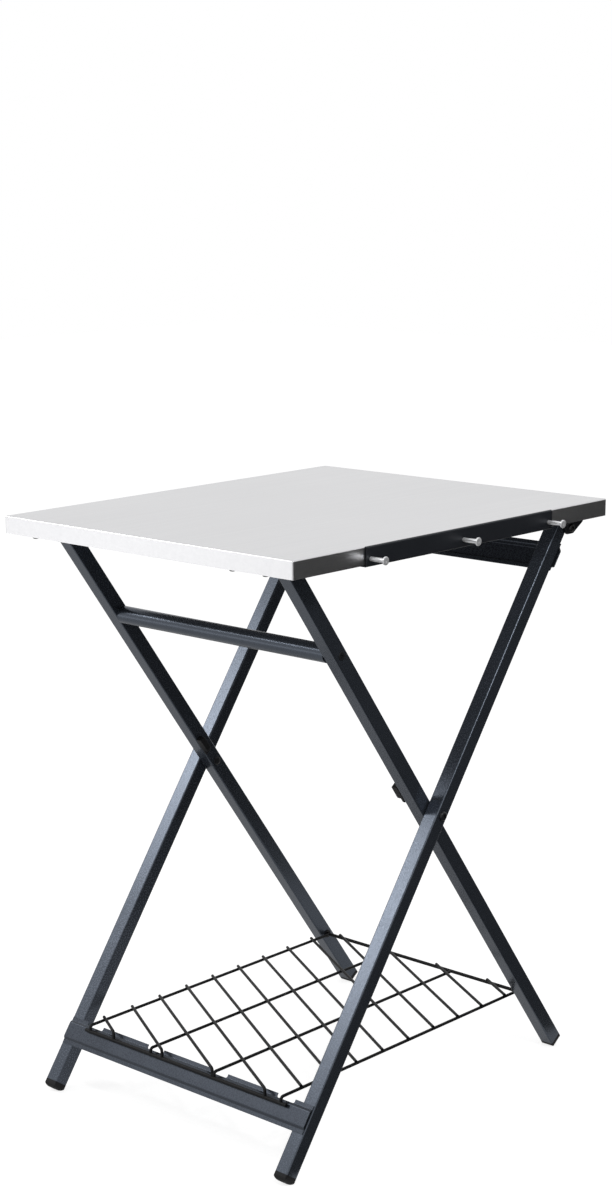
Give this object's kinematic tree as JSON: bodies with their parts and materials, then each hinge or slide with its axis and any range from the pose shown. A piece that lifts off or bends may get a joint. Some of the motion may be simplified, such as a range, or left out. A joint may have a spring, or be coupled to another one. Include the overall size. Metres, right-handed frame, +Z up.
{
  "type": "outdoor pizza oven table",
  "caption": "Folding outdoor oven table: folded sheet top on crossed square tube legs with a low wire shelf and a side rail of tool pegs.",
  "frame": {"origin": "on the floor, under the middle of the table top", "axes": "+Z up, +X towards the tool rail, -Y towards the front with the pressed channel"},
  "size_m": [0.632, 0.73, 0.94],
  "materials": {
    "brushed_stainless": "satin brushed sheet",
    "rail_slate": "semi-gloss dark powder coat",
    "peg_steel": "polished",
    "zinc": "zinc plated",
    "frame_black": "semi-gloss fine textured powder coat",
    "black_hardware": "black coated steel",
    "black_plastic": "matte moulded",
    "wire_black": "semi-gloss black coated wire"
  },
  "bodies": {
    "inner_frame": {"inner_leg_left": "frame_black", "inner_leg_right": "frame_black", "foot_cap_rear_left": "black_plastic", "foot_cap_rear_right": "black_plastic", "inner_top_plugs": "black_plastic", "round_crossbar": "frame_black", "crossbar_screws": "black_hardware", "stop_pads": "black_plastic", "shelf_bushings": "black_plastic", "pivot_bolt_left": "black_hardware", "pivot_bolt_right": "black_hardware", "pivot_washers": "black_plastic", "pivot_nuts": "black_hardware"},
    "outer_frame": {"outer_leg_left": "frame_black", "outer_leg_right": "frame_black", "foot_cap_front_left": "black_plastic", "foot_cap_front_right": "black_plastic", "outer_top_plugs": "black_plastic", "front_channel": "frame_black", "rear_bar": "frame_black", "fold_pull_tab": "black_hardware"},
    "top": {"table_top": "brushed_stainless", "tool_rail": "rail_slate", "tool_peg_front": "peg_steel", "tool_peg_middle": "peg_steel", "tool_peg_rear": "peg_steel", "peg_nuts": "zinc", "hinge_bracket_left": "black_hardware", "hinge_bracket_right": "black_hardware", "hinge_pin_left": "zinc", "hinge_pin_right": "zinc", "hinge_bracket_screws": "black_hardware", "catch_bracket_left": "black_hardware", "catch_bracket_right": "black_hardware", "catch_bolts": "zinc"},
    "shelf": {"wire_shelf": "wire_black"}
  },
  "joints": [
    {"name": "frame_fold", "type": "hinge", "parent": "inner_frame", "child": "outer_frame", "pos_m": [0, 0, 0.4916], "axis": [1, 0, 0], "range_deg": [0, 71]},
    {"name": "top_tilt", "type": "hinge", "parent": "inner_frame", "child": "top", "pos_m": [0, -0.3057, 0.917], "axis": [1, 0, 0], "range_deg": [0, 36.97]},
    {"name": "shelf_swing", "type": "hinge", "parent": "inner_frame", "child": "shelf", "pos_m": [0, 0.27278, 0.112], "axis": [1, 0, 0], "range_deg": [-52.02, 0]}
  ],
  "couplings": [
    {"joint": "top_tilt", "follows": "frame_fold", "ratio": 0.52},
    {"joint": "shelf_swing", "follows": "frame_fold", "ratio": -0.732}
  ]
}
